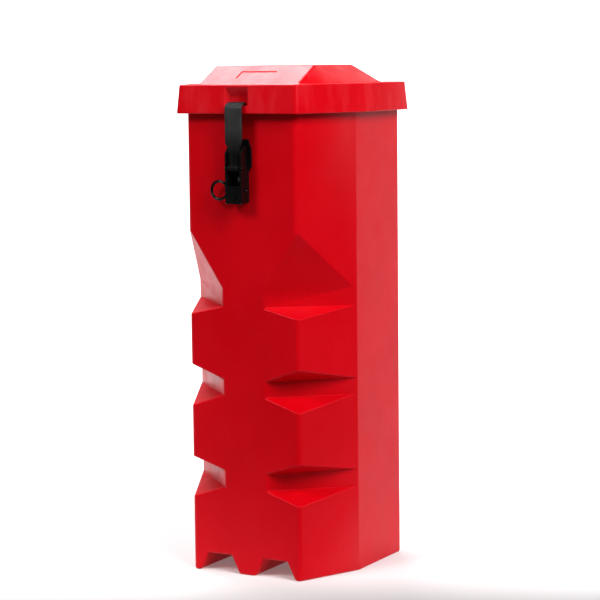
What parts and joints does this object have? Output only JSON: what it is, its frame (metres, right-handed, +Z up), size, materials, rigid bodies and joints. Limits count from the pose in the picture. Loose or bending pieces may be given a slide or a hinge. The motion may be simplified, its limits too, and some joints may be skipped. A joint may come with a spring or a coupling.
{
  "type": "vehicle fire extinguisher box",
  "caption": "Tall red plastic box with chamfered, recessed front corners, an overlapping hinged lid with a hipped roof, and a rubber-strap lever latch with a pull ring.",
  "frame": {"origin": "centre of the base, on the surface the box stands on, midway between the sides", "axes": "+Z up along the box, +X to the right seen from the front, -Y to the front with the latch"},
  "size_m": [0.2396, 0.2416, 0.6],
  "materials": {
    "red_shell": "moulded polyethylene, semi-gloss with faint drag lines",
    "red_lid": "moulded polyethylene, semi-gloss",
    "seal_rubber": "foamed rubber, matte",
    "mat_rubber": "matte rubber sheet",
    "insert_brass": "turned brass",
    "black_nylon": "moulded glass-filled nylon, satin",
    "lever_nylon": "moulded nylon, glossy",
    "ring_nylon": "moulded nylon, glossy",
    "strap_rubber": "matte EPDM rubber",
    "zinc_steel": "bright zinc plate",
    "rivet_aluminium": "plain aluminium blind rivet",
    "black_steel": "black oxide, lightly worn"
  },
  "bodies": {
    "box": {"body_shell": "red_shell", "floor_mat": "mat_rubber", "mount_insert_left_lower": "insert_brass", "mount_insert_left_upper": "insert_brass", "mount_insert_right_lower": "insert_brass", "mount_insert_right_upper": "insert_brass", "hinge_leaf_body_left": "black_nylon", "hinge_leaf_body_right": "black_nylon", "hinge_pin_left": "zinc_steel", "hinge_pin_right": "zinc_steel", "body_rivet_left_a": "rivet_aluminium", "body_rivet_left_b": "rivet_aluminium", "body_rivet_right_a": "rivet_aluminium", "body_rivet_right_b": "rivet_aluminium", "latch_base": "black_nylon", "latch_rivet_lower": "rivet_aluminium", "latch_rivet_upper": "rivet_aluminium", "latch_washer_lower": "zinc_steel", "latch_washer_upper": "zinc_steel"},
    "lid": {"lid_shell": "red_lid", "lid_seal": "seal_rubber", "hinge_leaf_lid_left": "black_nylon", "hinge_leaf_lid_right": "black_nylon", "lid_rivet_left_a": "rivet_aluminium", "lid_rivet_left_b": "rivet_aluminium", "lid_rivet_right_a": "rivet_aluminium", "lid_rivet_right_b": "rivet_aluminium"},
    "lever": {"latch_lever": "lever_nylon", "lever_pivot_left": "black_steel", "lever_pivot_right": "black_steel", "strap_pin": "black_steel"},
    "strap": {"rubber_strap": "strap_rubber"},
    "pin": {"safety_pin": "black_steel", "pull_ring": "ring_nylon"}
  },
  "joints": [
    {"name": "lid_hinge", "type": "hinge", "parent": "box", "child": "lid", "pos_m": [0, 0.117, 0.541], "axis": [-1, 0, 0], "range_deg": [0, 105]},
    {"name": "latch_lever_hinge", "type": "hinge", "parent": "box", "child": "lever", "pos_m": [0, -0.1095, 0.5045], "axis": [-1, 0, 0], "range_deg": [0, 130], "deforming": ["rubber_strap"]},
    {"name": "strap_swing", "type": "hinge", "parent": "lever", "child": "strap", "pos_m": [0, -0.116, 0.483], "axis": [-1, 0, 0], "range_deg": [-150, 0]},
    {"name": "safety_pin_slide", "type": "slide", "parent": "lever", "child": "pin", "axis": [-1, 0, 0], "range_m": [0, 0.03]}
  ],
  "couplings": [
    {"joint": "strap_swing", "follows": "latch_lever_hinge", "ratio": -1.15}
  ]
}
